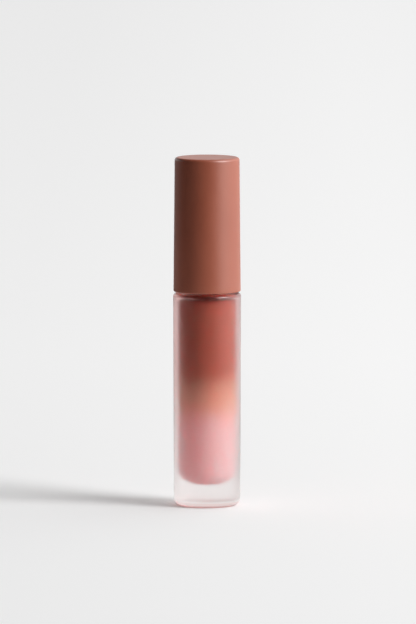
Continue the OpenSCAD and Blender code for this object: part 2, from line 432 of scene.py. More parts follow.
@dataclass(frozen=True)
class SoftMattePaint:
    """Soft-touch paint: a matte coat with a very fine peel and a faint bloom at the edges."""

    colour: Tone = Tone(164, 83, 57)
    worn: Tone = Tone(168, 87, 61)
    roughness: float = 0.43
    roughness_spread: float = 0.02
    shine: float = 1.0
    bend: float = 1.55
    peel: float = 0.35 * MM
    peel_depth: float = 0.003 * MM
    cloud: float = 7.0 * MM
    cloud_stretch: float = 2.5
    bloom: float = 0.01
    bloom_roughness: float = 0.4

    def material(self) -> bpy.types.Material:
        """Return the paint."""
        sketch = ShaderSketch("soft matte paint")
        cloud = sketch.noise(self.cloud, detail=3, stretch=self.cloud_stretch)
        wear = sketch.span(cloud, *NOISE_MIDDLE)
        low = self.roughness - self.roughness_spread
        high = self.roughness + self.roughness_spread
        body = sketch.node(
            "ShaderNodeBsdfPrincipled",
            Base_Color=sketch.blend(wear, self.colour, self.worn),
            Roughness=sketch.span(cloud, *NOISE_RANGE, low, high),
            Specular_IOR_Level=self.shine,
            IOR=self.bend,
            Sheen_Weight=self.bloom,
            Sheen_Roughness=self.bloom_roughness,
            Normal=sketch.bump(sketch.noise(self.peel, detail=3), self.peel_depth),
        )
        return sketch.finished(body.outputs[0])


@dataclass(frozen=True)
class MouldedPlastic:
    """Plastic as it leaves the mould, with faint flow marks and a fine spark grain."""

    name: str
    colour: Tone
    flow: Tone
    roughness: float = 0.38
    shine: float = 0.5
    uneven: float = 0.1  # share by which the flow marks change the roughness
    clear: float = 0.0
    clear_depth: float = 1.0 * MM
    clear_spread: tuple[float, float, float] = (1.0, 0.8, 0.7)
    grain: float = 0.25 * MM
    grain_depth: float = 0.003 * MM
    flow_size: float = 3.5 * MM
    flow_stretch: float = 4.0

    def material(self) -> bpy.types.Material:
        """Return the plastic."""
        sketch = ShaderSketch(self.name)
        marks = sketch.noise(self.flow_size, detail=3, stretch=self.flow_stretch)
        flow = sketch.span(marks, *NOISE_MIDDLE)
        low = self.roughness * (1 - self.uneven)
        high = self.roughness * (1 + self.uneven)
        body = sketch.node(
            "ShaderNodeBsdfPrincipled",
            Base_Color=sketch.blend(flow, self.colour, self.flow),
            Roughness=sketch.span(flow, 0, 1, low, high),
            Specular_IOR_Level=self.shine,
            Subsurface_Weight=self.clear,
            Subsurface_Radius=self.clear_spread,
            Subsurface_Scale=self.clear_depth,
            Normal=sketch.bump(sketch.noise(self.grain), self.grain_depth),
        )
        return sketch.finished(body.outputs[0])


@dataclass(frozen=True)
class WasherFoam:
    """Closed foam with tiny cells on its cut faces, whose dips are darkened by painted shade."""

    colour: Tone = Tone(238, 234, 226)
    # darker colour of the cells' dips: painted shade
    cell: Tone = Tone(205, 198, 188)
    cell_size: float = 0.22 * MM
    cell_wall: tuple[float, float] = (0.1, 0.6)  # where a cell's dip ends and its wall starts
    cell_depth: float = 0.03 * MM
    roughness: float = 0.85

    def material(self) -> bpy.types.Material:
        """Return the foam."""
        sketch = ShaderSketch("washer foam")
        cells = sketch.node("ShaderNodeTexVoronoi", Vector=sketch.place, Scale=1 / self.cell_size)
        # The share below is 1 in each cell's dip, which the darker colour fills as painted shade.
        wall = sketch.span(cells.outputs["Distance"], *self.cell_wall, 1, 0)
        body = sketch.node(
            "ShaderNodeBsdfPrincipled",
            Base_Color=sketch.blend(wall, self.colour, self.cell),
            Roughness=self.roughness,
            Normal=sketch.bump(sketch.math("SUBTRACT", 1.0, wall), self.cell_depth),
        )
        return sketch.finished(body.outputs[0])


@dataclass(frozen=True)
class Flock:
    """Short nylon fibres, tinted by the gloss that they hold."""

    name: str
    root: Tone
    tip: Tone
    low: float  # height of the deepest tint
    high: float  # height where the tint ends
    soak_patch: float = 1.5 * MM
    soak_swing: float = 1.0 * MM
    roughness: float = 0.75
    bloom: float = 0.6

    def material(self) -> bpy.types.Material:
        """Return the fibres, whose tint deepens towards the tip of the wand."""
        sketch = ShaderSketch(self.name)
        patches = sketch.noise(self.soak_patch)
        wander = sketch.span(patches, 0, 1, -self.soak_swing, self.soak_swing)
        share = sketch.span(sketch.math("ADD", sketch.height(), wander), self.low, self.high)
        body = sketch.node(
            "ShaderNodeBsdfPrincipled",
            Base_Color=sketch.ramp(share, ((0, self.tip), (1, self.root))),
            Roughness=self.roughness,
            Sheen_Weight=self.bloom,
        )
        return sketch.finished(body.outputs[0])


# ---------------------------------------------------------------- outlines and turned pieces


def arc(centre: Point, radius: float, start: float, end: float) -> list[Point]:
    """Return points along an arc.

    Args:
        centre: Middle of the arc.
        radius: Radius of the arc.
        start: First angle, in degrees.
        end: Last angle, in degrees.

    Returns:
        Points from the first angle to the last, both included.
    """
    steps = max(2, round(abs(math.radians(end - start)) / ARC_STEP))
    turns = (math.radians(start + (end - start) * i / steps) for i in range(steps + 1))
    return [(centre[0] + radius * math.cos(t), centre[1] + radius * math.sin(t)) for t in turns]


def spaced(points: Sequence[Point], closed: bool) -> list[Point]:
    """Return an outline with extra points on its long straight runs, so that they shade evenly."""
    rounds = [*points, points[0]] if closed else list(points)
    result = [rounds[0]]
    for (r0, z0), (r1, z1) in zip(rounds, rounds[1:]):
        length = math.hypot(r1 - r0, z1 - z0)
        if length < ONE_POINT:
            continue
        count = math.ceil(length / RUN_STEP)
        for i in range(1, count + 1):
            result.append((r0 + (r1 - r0) * i / count, z0 + (z1 - z0) * i / count))
    return result[:-1] if closed else result


def turned(
    name: str,
    outline: Sequence[Point],
    closed: bool = False,
    inner: Callable[[Point], bool] | None = None,
) -> bpy.types.Object:
    """Turn an outline about Z.

    Args:
        name: Name of the piece.
        outline: (radius, height) points, anticlockwise round the solid. An open outline starts
            and ends on the axis.
        closed: True for a ring, whose outline stays clear of the axis and joins its own start.
        inner: Picks the faces, by their (radius, height), that take the second material.

    Returns:
        The piece, in its place.
    """
    points = spaced(outline, closed)
    verts: list[tuple[float, float, float]] = []
    rings: list[list[int]] = []
    for radius, height in points:
        if radius < ON_AXIS:
            rings.append([len(verts)])
            verts.append((0.0, 0.0, height))
            continue
        rings.append(list(range(len(verts), len(verts) + ROUND)))
        for step in range(ROUND):
            turn = math.tau * step / ROUND
            verts.append((radius * math.cos(turn), radius * math.sin(turn), height))
    faces: list[tuple[int, ...]] = []
    slots: list[int] = []
    pairs = list(zip(range(len(rings)), range(1, len(rings))))
    if closed:
        pairs.append((len(rings) - 1, 0))
    for low, high in pairs:
        middle = tuple((a + b) / 2 for a, b in zip(points[low], points[high]))
        slot = 1 if inner and inner(middle) else 0
        for step in range(ROUND):
            after = (step + 1) % ROUND
            first, second = rings[low], rings[high]
            if len(first) == 1:
                face = (first[0], second[after], second[step])
            elif len(second) == 1:
                face = (first[step], first[after], second[0])
            else:
                face = (first[step], first[after], second[after], second[step])
            faces.append(face)
            slots.append(slot)
    mesh = bpy.data.meshes.new(name)
    mesh.from_pydata(verts, [], faces)
    mesh.polygons.foreach_set("material_index", slots)
    return placed(name, mesh)


def placed(name: str, mesh: bpy.types.Mesh) -> bpy.types.Object:
    """Put a mesh in the scene at the origin, smooth but for its sharp corners."""
    mesh.validate()
    mesh.shade_smooth()
    mesh.set_sharp_from_angle(angle=CREASE)
    piece = bpy.data.objects.new(name, mesh)
    bpy.context.scene.collection.objects.link(piece)
    return piece


def dressed(
    piece: bpy.types.Object,
    finishes: Iterable[bpy.types.Material],
    body: str,
    stands_for: Sequence[str] = (),
) -> bpy.types.Object:
    """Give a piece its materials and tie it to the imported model.

    Args:
        piece: The piece, in its place.
        finishes: Its materials, in slot order.
        body: The body that it moves with.
        stands_for: The nodes that it replaces.

    Returns:
        The same piece.
    """
    piece.data.materials.clear()
    for finish in finishes:
        piece.data.materials.append(finish)
    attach(piece, body)
    if stands_for:
        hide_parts(*stands_for)
    log.info("%s: %d faces, rides on %s", piece.name, len(piece.data.polygons), body)
    return piece


# ---------------------------------------------------------------- geometry node trees


class Growth(NodeSketch):
    """A Geometry Nodes tree under construction, with named inputs for its sizes."""

    def __init__(self, name: str, inputs: dict[str, tuple[str, object]]) -> None:
        """Start a tree.

        Args:
            name: Name of the tree.
            inputs: Name of each input, with its socket type and first value.
        """
        super().__init__(bpy.data.node_groups.new(name, "GeometryNodeTree"))
        face = self.tree.interface
        face.new_socket("Geometry", in_out="INPUT", socket_type="NodeSocketGeometry")
        for label, (kind, value) in inputs.items():
            face.new_socket(label, in_out="INPUT", socket_type=kind).default_value = value
        face.new_socket("Geometry", in_out="OUTPUT", socket_type="NodeSocketGeometry")
        self.given = self.tree.nodes.new("NodeGroupInput")

    def size(self, name: str) -> Socket:
        """Return the socket of a named input."""
        return self.given.outputs[name]

    def close(self, shape: Socket, finish: bpy.types.Material) -> None:
        """End the tree with real faces in one material."""
        real = self.node("GeometryNodeRealizeInstances", Geometry=shape)
        coat = self.node("GeometryNodeSetMaterial", Geometry=real.outputs[0], Material=finish)
        end = self.tree.nodes.new("NodeGroupOutput")
        self.tree.links.new(coat.outputs[0], end.inputs[0])

    def grow(
        self, name: str, values: dict[str, object], seed_mesh: bpy.types.Mesh | None = None
    ) -> bpy.types.Object:
        """Run the tree and keep its result as a plain mesh.

        Args:
            name: Name of the piece.
            values: A value for each input that differs from its first one.
            seed_mesh: The mesh that the tree starts from, if it needs one.

        Returns:
            The piece, with no modifier left on it.
        """
        holder = bpy.data.objects.new(name, seed_mesh or bpy.data.meshes.new(name))
        bpy.context.scene.collection.objects.link(holder)
        modifier = holder.modifiers.new("grow", "NODES")
        modifier.node_group = self.tree
        for item in self.tree.interface.items_tree:
            if item.in_out == "INPUT" and item.name in values:
                modifier[item.identifier] = values[item.name]
        graph = bpy.context.evaluated_depsgraph_get()
        result = bpy.data.meshes.new_from_object(holder.evaluated_get(graph))
        holder.modifiers.clear()
        bpy.data.objects.remove(holder)
        return placed(name, result)


class ThreadSide(Enum):
    """Which way a thread stands out of its wall."""

    OUTSIDE = 0.0
    INSIDE = math.pi


@dataclass(frozen=True)
class ScrewThread:
    """A right-handed thread that runs out into its wall at both ends."""

    wall: float
    start: float
    turns: float
    side: ThreadSide
    first_turn: float = 0.0
    pitch: float = 2.117 * MM
    depth: float = 0.7 * MM
    root_width: float = 1.25 * MM
    crest_width: float = 0.5 * MM
    sunk: float = 0.08 * MM  # depth of its foot inside the wall
    run_out: float = 0.09  # share of its length over which each end fades
    thinnest: float = 0.02
    steps: int = 72

    def grow(self, name: str, finish: bpy.types.Material) -> bpy.types.Object:
        """Return the thread as a plain mesh.

        Args:
            name: Name of the piece.
            finish: Its material.

        Returns:
            The thread, in its place.
        """
        plan = Growth(
            "screw thread",
            {
                "Wall Radius": ("NodeSocketFloat", self.wall),
                "Start Height": ("NodeSocketFloat", self.start),
                "Start Turn": ("NodeSocketFloat", self.first_turn),
                "Turns": ("NodeSocketFloat", self.turns),
                "Pitch": ("NodeSocketFloat", self.pitch),
                "Depth": ("NodeSocketFloat", self.depth),
                "Root Width": ("NodeSocketFloat", self.root_width),
                "Crest Width": ("NodeSocketFloat", self.crest_width),
                "Facing": ("NodeSocketFloat", self.side.value),
                "Run Out": ("NodeSocketFloat", self.run_out),
                "Steps": ("NodeSocketInt", self.steps),
            },
        )
        rise = plan.math("MULTIPLY", plan.size("Turns"), plan.size("Pitch"))
        path = plan.node(
            "GeometryNodeCurveSpiral",
            Resolution=plan.size("Steps"),
            Rotations=plan.size("Turns"),
            Start_Radius=plan.size("Wall Radius"),
            End_Radius=plan.size("Wall Radius"),
            Height=rise,
        )
        upright = plan.node("GeometryNodeSetCurveNormal", {"mode": "Z_UP"}, Curve=path.outputs[0])
        along = plan.node("GeometryNodeSplineParameter").outputs["Factor"]
        back = plan.math("SUBTRACT", 1.0, along)
        nearest = plan.math("MINIMUM", along, back)
        fade = plan.math("MINIMUM", plan.math("DIVIDE", nearest, plan.size("Run Out")), 1.0)
        swell = plan.math("MAXIMUM", plan.math("SQRT", fade), self.thinnest)
        thinned = plan.node("GeometryNodeSetCurveRadius", Curve=upright.outputs[0], Radius=swell)
        tooth = plan.node(
            "GeometryNodeCurvePrimitiveQuadrilateral",
            {"mode": "TRAPEZOID"},
            Bottom_Width=plan.size("Root Width"),
            Top_Width=plan.size("Crest Width"),
            Height=plan.size("Depth"),
            Offset=0.0,
        )
        half = plan.math("MULTIPLY", plan.size("Depth"), 0.5)
        stand = plan.node("ShaderNodeCombineXYZ", Y=plan.math("SUBTRACT", half, self.sunk))
        seated = plan.node(
            "GeometryNodeTransform", Geometry=tooth.outputs[0], Translation=stand.outputs[0]
        )
        facing = plan.node("ShaderNodeCombineXYZ", Z=plan.size("Facing"))
        faced = plan.node(
            "GeometryNodeTransform", Geometry=seated.outputs[0], Rotation=facing.outputs[0]
        )
        swept = plan.node(
            "GeometryNodeCurveToMesh",
            Curve=thinned.outputs[0],
            Profile_Curve=faced.outputs[0],
            Fill_Caps=True,
        )
        lift = plan.node("ShaderNodeCombineXYZ", Z=plan.size("Start Height"))
        spin = plan.node("ShaderNodeCombineXYZ", Z=plan.size("Start Turn"))
        home = plan.node(
            "GeometryNodeTransform",
            Geometry=swept.outputs[0],
            Translation=lift.outputs[0],
            Rotation=spin.outputs[0],
        )
        plan.close(home.outputs[0], finish)
        piece = plan.grow(name, {"Wall Radius": self.wall, "Facing": self.side.value})
        log.info("%s: %.2f turns at %.3f mm pitch", name, self.turns, self.pitch / MM)
        return piece


@dataclass(frozen=True)
class FlockCoat:
    """Fibres that stand on a core, leaning at random, with a fixed seed."""

    per_square_mm: float = 26.0
    length: float = 0.42 * MM
    thickness: float = 0.028 * MM
    lean: float = 0.35  # largest tilt, in radians
    shortest: float = 0.75  # share of the full length
    sides: int = 3
    seed: int = 7

    def grow(self, name: str, core: bpy.types.Object, finish: bpy.types.Material) -> bpy.types.Object:
        """Return every fibre on the core in one plain mesh.

        Args:
            name: Name of the piece.
            core: The piece that carries the fibres.
            finish: Material of the fibres.

        Returns:
            The fibres.
        """
        plan = Growth(
            "flock coat",
            {
                "Density": ("NodeSocketFloat", self.per_square_mm / MM**2),
                "Length": ("NodeSocketFloat", self.length),
                "Thickness": ("NodeSocketFloat", self.thickness),
                "Lean": ("NodeSocketFloat", self.lean),
                "Shortest": ("NodeSocketFloat", self.shortest),
                "Seed": ("NodeSocketInt", self.seed),
            },
        )
        strewn = plan.node(
            "GeometryNodeDistributePointsOnFaces",
            Mesh=plan.size("Geometry"),
            Density=plan.size("Density"),
            Seed=plan.size("Seed"),
        )
        fibre = plan.node(
            "GeometryNodeMeshCone",
            {"fill_type": "NONE"},
            Vertices=self.sides,
            Side_Segments=1,
            Radius_Top=0.0,
            Radius_Bottom=plan.size("Thickness"),
            Depth=plan.size("Length"),
        )
        low = plan.math("MULTIPLY", plan.size("Lean"), -1.0)
        sway = plan.node(
            "FunctionNodeRandomValue", {"data_type": "FLOAT_VECTOR"}, Seed=plan.size("Seed")
        )
        for target, bound in ((sway.inputs["Min"], low), (sway.inputs["Max"], plan.size("Lean"))):
            triple = plan.node("ShaderNodeCombineXYZ", X=bound, Y=bound, Z=bound)
            plan.feed(target, triple.outputs[0])
        leaning = plan.node(
            "FunctionNodeRotateEuler",
            {"rotation_type": "EULER", "space": "LOCAL"},
            Rotation=strewn.outputs["Rotation"],
            Rotate_By=sway.outputs[0],
        )
        grown = plan.node("FunctionNodeRandomValue", {"data_type": "FLOAT"}, Seed=plan.size("Seed"))
        plan.feed(grown.inputs[2], plan.size("Shortest"))
        plan.feed(grown.inputs[3], 1.0)
        planted = plan.node(
            "GeometryNodeInstanceOnPoints",
            Points=strewn.outputs["Points"],
            Instance=fibre.outputs["Mesh"],
            Rotation=leaning.outputs[0],
            Scale=grown.outputs[1],
        )
        plan.close(planted.outputs[0], finish)
        piece = plan.grow(name, {}, core.data.copy())
        log.info("%s: %d faces", name, len(piece.data.polygons))
        return piece


# ---------------------------------------------------------------- sub-assemblies


@dataclass
class Bottle:
    """The frosted bottle: etched outside, clear inside, with a screw thread on its neck."""

    body: str = "bottle"
    shoulder_gap: float = 0.4 * MM
    taper: float = 0.2 * MM
    heel: float = 2.25 * MM
    shoulder_round: float = 1.0 * MM
    hollow: float = 4.5 * MM
    hollow_depth: float = 0.4 * MM
    cavity: float = 5.5 * MM
    cavity_floor: float = 6.5 * MM
    floor_round: float = 4.25 * MM
    roof_round: float = 1.0 * MM
    shoulder_wall: float = 1.8 * MM
    neck: float = 5.75 * MM
    bore: float = 4.1 * MM
    neck_root: float = 0.4 * MM
    bead: float = 0.6 * MM
    bead_rise: float = 1.6 * MM
    bevel: float = 0.3 * MM
    snap_depths: tuple[float, ...] = (2.4 * MM, 4.0 * MM)
    snap_out: float = 0.25 * MM
    thread_rise: float = 3.4 * MM
    thread_turns: float = 2.0
    finish: FrostedGlass = field(default_factory=FrostedGlass)
    inside: ClearGlass = field(default_factory=ClearGlass)
    thread_finish: FrostedGlass = FrostedGlass("frosted thread", ridge_roughness=0.6)

    def __post_init__(self) -> None:
        """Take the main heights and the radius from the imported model."""
        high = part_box("bottle")[1]
        self.radius = high.x
        self.neck_top = high.z
        self.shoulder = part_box("cap_shell")[0].z - self.shoulder_gap
        self.cavity_roof = self.shoulder - self.shoulder_wall

    def cavity_side(self, grow: float = 0.0) -> list[Point]:
        """Return the cavity's outline from its roof down to its floor.

        Args:
            grow: How far the outline is pushed into the glass.

        Returns:
            The points, from the roof's rounding to the axis.
        """
        wide = self.cavity + grow
        roof = self.cavity_roof + grow
        floor = self.cavity_floor - grow
        return [
            *arc((wide - self.roof_round, roof - self.roof_round), self.roof_round, 90, 0),
            *arc((wide - self.floor_round, floor + self.floor_round), self.floor_round, 0, -90),
            (0.0, floor),
        ]

    def outline(self) -> list[Point]:
        """Return the whole bottle, from the hollow under it, up the outside and down the inside."""
        foot = self.radius - self.taper
        side = self.radius - self.shoulder_round
        turn = self.shoulder - self.shoulder_round
        grooves = [
            point
            for depth in self.snap_depths
            for point in (
                (self.bore, self.neck_top - depth + self.snap_out),
                (self.bore + self.snap_out, self.neck_top - depth),
                (self.bore, self.neck_top - depth - 2 * self.snap_out),
            )
        ]
        return [
            (0.0, self.hollow_depth),
            (self.hollow - self.hollow_depth, self.hollow_depth),
            (self.hollow, 0.0),
            *arc((foot - self.heel, self.heel), self.heel, -90, 0),
            *arc((side, turn), self.shoulder_round, 0, 90),
            *arc((self.neck + self.neck_root, self.shoulder + self.neck_root), self.neck_root, -90, -180),
            *arc((self.neck, self.shoulder + self.bead_rise), self.bead, -90, 90),
            (self.neck, self.neck_top - self.bevel),
            (self.neck - self.bevel, self.neck_top),
            (self.bore, self.neck_top),
            *grooves,
            (self.bore, self.cavity_roof),
            *self.cavity_side(),
        ]

    def is_inside(self, point: Point) -> bool:
        """Tell whether a face at this radius and height belongs to the bore or the cavity."""
        radius, height = point
        in_cavity = radius <= self.cavity and self.cavity_floor <= height <= self.cavity_roof
        in_bore = radius <= self.bore + self.snap_out and height > self.cavity_roof
        return in_cavity or in_bore

    def build(self) -> None:
        """Make the glass and its thread."""
        frosted = self.finish.material()
        clear = self.inside.material()
        glass = turned("bottle_glass", self.outline(), inner=self.is_inside)
        dressed(glass, (frosted, clear), self.body, ["bottle"])
        thread = ScrewThread(
            wall=self.neck,
            start=self.shoulder + self.thread_rise,
            turns=self.thread_turns,
            side=ThreadSide.OUTSIDE,
        )
        etched = self.thread_finish.material()
        ridge = thread.grow("neck_thread", etched)
        dressed(ridge, (etched,), self.body)


@dataclass
class Gloss:
    """The two pours, as one column that wets the glass all round."""

    bottle: Bottle
    wetting: float = 0.02 * MM
    finish: TwoToneGloss = field(default_factory=TwoToneGloss)

    def build(self) -> None:
        """Make the column, which closes round the wand as a thick liquid does."""
        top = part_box("gloss_upper")[1].z
        bore = self.bottle.bore + self.wetting
        outside = self.bottle.cavity_side(self.wetting)
        roof = self.bottle.cavity_roof + self.wetting
        outline = [
            *reversed(outside),
            (bore, roof),
            (bore, top),
            (0.0, top),
        ]
        column = turned("gloss_column", outline)
        dressed(
            column,
            (self.finish.material(),),
            self.bottle.body,
            ["gloss_lower", "gloss_upper"],
        )


@dataclass
class Wiper:
    """The soft wiper in the neck, with its flange, snap beads and thin cone."""

    bottle: Bottle
    gap: float = 0.05 * MM
    wall: float = 0.8 * MM
    cone: float = 3.0 * MM
    lip: float = 2.35 * MM
    lip_wall: float = 0.35 * MM
    lip_length: float = 0.6 * MM
    edge: float = 0.2 * MM
    mouth: float = 0.4 * MM
    finish: MouldedPlastic = MouldedPlastic(
        "waxy wiper plastic", Tone(236, 231, 224), Tone(228, 222, 214), roughness=0.45, clear=0.4
    )

    def build(self) -> None:
        """Make the wiper."""
        low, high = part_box("wiper")
        seat = self.bottle.neck_top
        barrel = self.bottle.bore - self.gap
        funnel = barrel - self.wall
        out = self.bottle.snap_out - self.gap
        beads = [
            point
            for depth in reversed(self.bottle.snap_depths)
            for point in (
                (barrel, seat - depth - 2 * out),
                (barrel + out, seat - depth),
                (barrel, seat - depth + out),
            )
        ]
        outline = [
            (self.lip, low.z),
            (self.lip + self.lip_wall, low.z),
            (barrel, low.z + self.cone),
            *beads,
            (barrel, seat),
            (high.x, seat),
            *arc((high.x - self.edge, high.z - self.edge), self.edge, 0, 90),
            *arc((funnel + self.mouth, high.z - self.mouth), self.mouth, 90, 180),
            (funnel, low.z + self.cone + self.lip_length),
            (self.lip, low.z + self.lip_length),
        ]
        piece = turned("neck_wiper", outline, closed=True)
        dressed(piece, (self.finish.material(),), "bottle", ["wiper"])


@dataclass
class SealWasher:
    """The foam washer that the cap presses on the wiper's flange."""

    hole: float = 3.7 * MM
    edge: float = 0.12 * MM
    finish: WasherFoam = field(default_factory=WasherFoam)

    def build(self) -> None:
        """Make the washer, with edges that the die has pressed soft."""
        low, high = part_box("seal_washer")
        soft = self.edge
        outline = [
            *arc((self.hole + soft, low.z + soft), soft, 180, 270),
            *arc((high.x - soft, low.z + soft), soft, -90, 0),
            *arc((high.x - soft, high.z - soft), soft, 0, 90),
            *arc((self.hole + soft, high.z - soft), soft, 90, 180),
        ]
        piece = turned("foam_washer", outline, closed=True)
        dressed(piece, (self.finish.material(),), "seal", ["seal_washer"])


@dataclass
class Cap:
    """The painted shell and the moulded inner cap with its thread."""

    body: str = "cap"
    taper: float = 0.35 * MM
    wall: float = 1.2 * MM
    ledge: float = 0.6 * MM
    roof: float = 1.7 * MM
    top_round: float = 0.9 * MM
    foot_round: float = 0.3 * MM
    lead_in: float = 0.4 * MM
    deck: float = 1.5 * MM
    skirt_bore: float = 6.6 * MM
    thread_turns: float = 2.0
    thread_rise: float = 0.5  # pitches by which it starts above the neck's thread
    paint: SoftMattePaint = field(default_factory=SoftMattePaint)
    plastic: MouldedPlastic = MouldedPlastic(
        "moulded cap plastic", Tone(231, 226, 219), Tone(222, 216, 208), roughness=0.4, clear=0.2
    )

    def shell_outline(self) -> list[Point]:
        """Return the shell, from the axis down its inside and back up its outside to the axis."""
        low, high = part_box("cap_shell")
        height = high.z - low.z
        foot = high.x
        deck_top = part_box("seal_washer")[1].z + self.deck
        seat = foot - self.wall
        ledge = seat - self.ledge
        roof = high.z - self.roof
        top = foot - self.taper * (height - self.top_round) / height
        bore_top = ledge - self.taper * (roof - deck_top) / height
        return [
            (0.0, roof),
            *arc((bore_top - self.top_round, roof - self.top_round), self.top_round, 90, 0),
            (ledge, deck_top),
            (seat, deck_top),
            (seat, low.z + self.lead_in),
            (seat + self.lead_in, low.z),
            *arc((foot - self.foot_round, low.z + self.foot_round), self.foot_round, -90, 0),
            *arc((top - self.top_round, high.z - self.top_round), self.top_round, 0, 90),
            (0.0, high.z),
        ]

    def build(self, bottle: Bottle) -> None:
        """Make the shell, dress the inner cap and cut its thread.

        Args:
            bottle: The bottle that the cap screws on, for the pitch and place of its thread.
        """
        shell = turned("cap_shell_painted", self.shell_outline())
        dressed(shell, (self.paint.material(),), self.body, ["cap_shell"])
        plastic = self.plastic.material()
        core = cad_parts["inner_cap"]
        core.data.materials.clear()
        core.data.materials.append(plastic)
        thread = ScrewThread(
            wall=self.skirt_bore,
            start=bottle.shoulder + bottle.thread_rise + ScrewThread.pitch * self.thread_rise,
            turns=self.thread_turns,
            side=ThreadSide.INSIDE,
        )
        ridge = thread.grow("cap_thread", plastic)
        dressed(ridge, (plastic,), self.body)


@dataclass
class Wand:
    """The stem and its flocked tip."""

    body: str = "cap"
    plug: float = 2.5 * MM
    shank: float = 2.3 * MM
    stem: float = 1.7 * MM
    spigot: float = 1.1 * MM
    collar_thick: float = 0.8 * MM
    shank_drop: float = 5.0 * MM  # from the wiper's lip down to the end of the shank
    cone: float = 3.0 * MM
    cone_root: float = 0.5 * MM
    cone_root_turn: float = 20.0  # degrees
    cone_crest: float = 1.0 * MM
    cone_crest_turn: float = 12.0  # degrees
    edge: float = 0.25 * MM
    fibre_room: float = 0.4 * MM
    slant: float = 9.5 * MM  # height over which the front slants
    slant_left: float = 1.4 * MM  # thickness left at the top of the slant
    dish: float = 0.3 * MM
    plastic: MouldedPlastic = MouldedPlastic(
        "stem plastic", Tone(226, 205, 196), Tone(218, 195, 185), roughness=0.22, clear=0.5
    )
    core_finish: Flock = Flock(
        "flock base", Tone(226, 186, 178), Tone(200, 140, 132), low=9 * MM, high=24 * MM, bloom=0.3
    )
    fibre_finish: Flock = Flock(
        "flock fibre", Tone(243, 219, 213), Tone(222, 168, 160), low=9 * MM, high=24 * MM
    )
    coat: FlockCoat = field(default_factory=FlockCoat)

    def stem_outline(self) -> list[Point]:
        """Return the stem from its spigot up to its plug."""
        low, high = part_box("wand_stem")
        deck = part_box("seal_washer")[1].z
        tip_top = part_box("applicator_tip")[1].z
        shank_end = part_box("wiper")[0].z - self.shank_drop
        collar = high.x
        under = deck - self.collar_thick
        root = self.cone_root
        crest = self.cone_crest
        soft = self.edge
        return [
            (0.0, low.z),
            (self.spigot, low.z),
            (self.spigot, tip_top),
            *arc((self.stem - soft, tip_top + soft), soft, -90, 0),
            *arc((self.stem + root, shank_end - self.cone), root, 180, 180 - self.cone_root_turn),
            *arc((self.shank - crest, shank_end), crest, -self.cone_crest_turn, 0),
            (self.shank, under),
            (collar, under),
            (collar, deck),
            (self.plug, deck),
            (self.plug, high.z - soft),
            (self.plug - soft, high.z),
            (0.0, high.z),
        ]

    def tip_outline(self) -> list[Point]:
        """Return the core of the applicator, thinner than the flocked tip by the fibres' room."""
        low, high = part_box("applicator_tip")
        thick = high.x - self.fibre_room
        foot = low.z + self.fibre_room
        return [
            (0.0, foot),
            *arc((0.0, foot + thick), thick, -90, 0)[1:],
            *arc((thick - self.edge, high.z - 2 * self.edge), self.edge, 0, 90),
            (0.0, high.z - self.edge),
        ]

    def slant_tip(self, core: bpy.types.Object) -> None:
        """Press the front of the core back onto its slanted, dished face.

        Args:
            core: The turned core.
        """
        low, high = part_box("applicator_tip")
        thick = high.x - self.fibre_room
        reach = 2 * high.x - self.slant_left
        for vert in core.data.vertices:
            share = (vert.co.z - low.z) / self.slant
            if share >= 1:
                continue
            flat = high.x - self.slant_left - reach * share + self.fibre_room
            across = max(0.0, 1 - (vert.co.x / thick) ** 2)
            hollow = self.dish * math.sin(math.pi * max(share, 0)) * across
            vert.co.y = max(vert.co.y, min(flat + hollow, thick))
        core.data.update()

    def build(self) -> None:
        """Make the stem, the core of its tip and the flock on it."""
        stem = turned("wand_stem_moulded", self.stem_outline())
        dressed(stem, (self.plastic.material(),), self.body, ["wand_stem"])
        core = turned("applicator_core", self.tip_outline())
        self.slant_tip(core)
        dressed(core, (self.core_finish.material(),), self.body, ["applicator_tip"])
        fibre = self.fibre_finish.material()
        coat = self.coat.grow("applicator_flock", core, fibre)
        dressed(coat, (fibre,), self.body)


# ---------------------------------------------------------------- studio


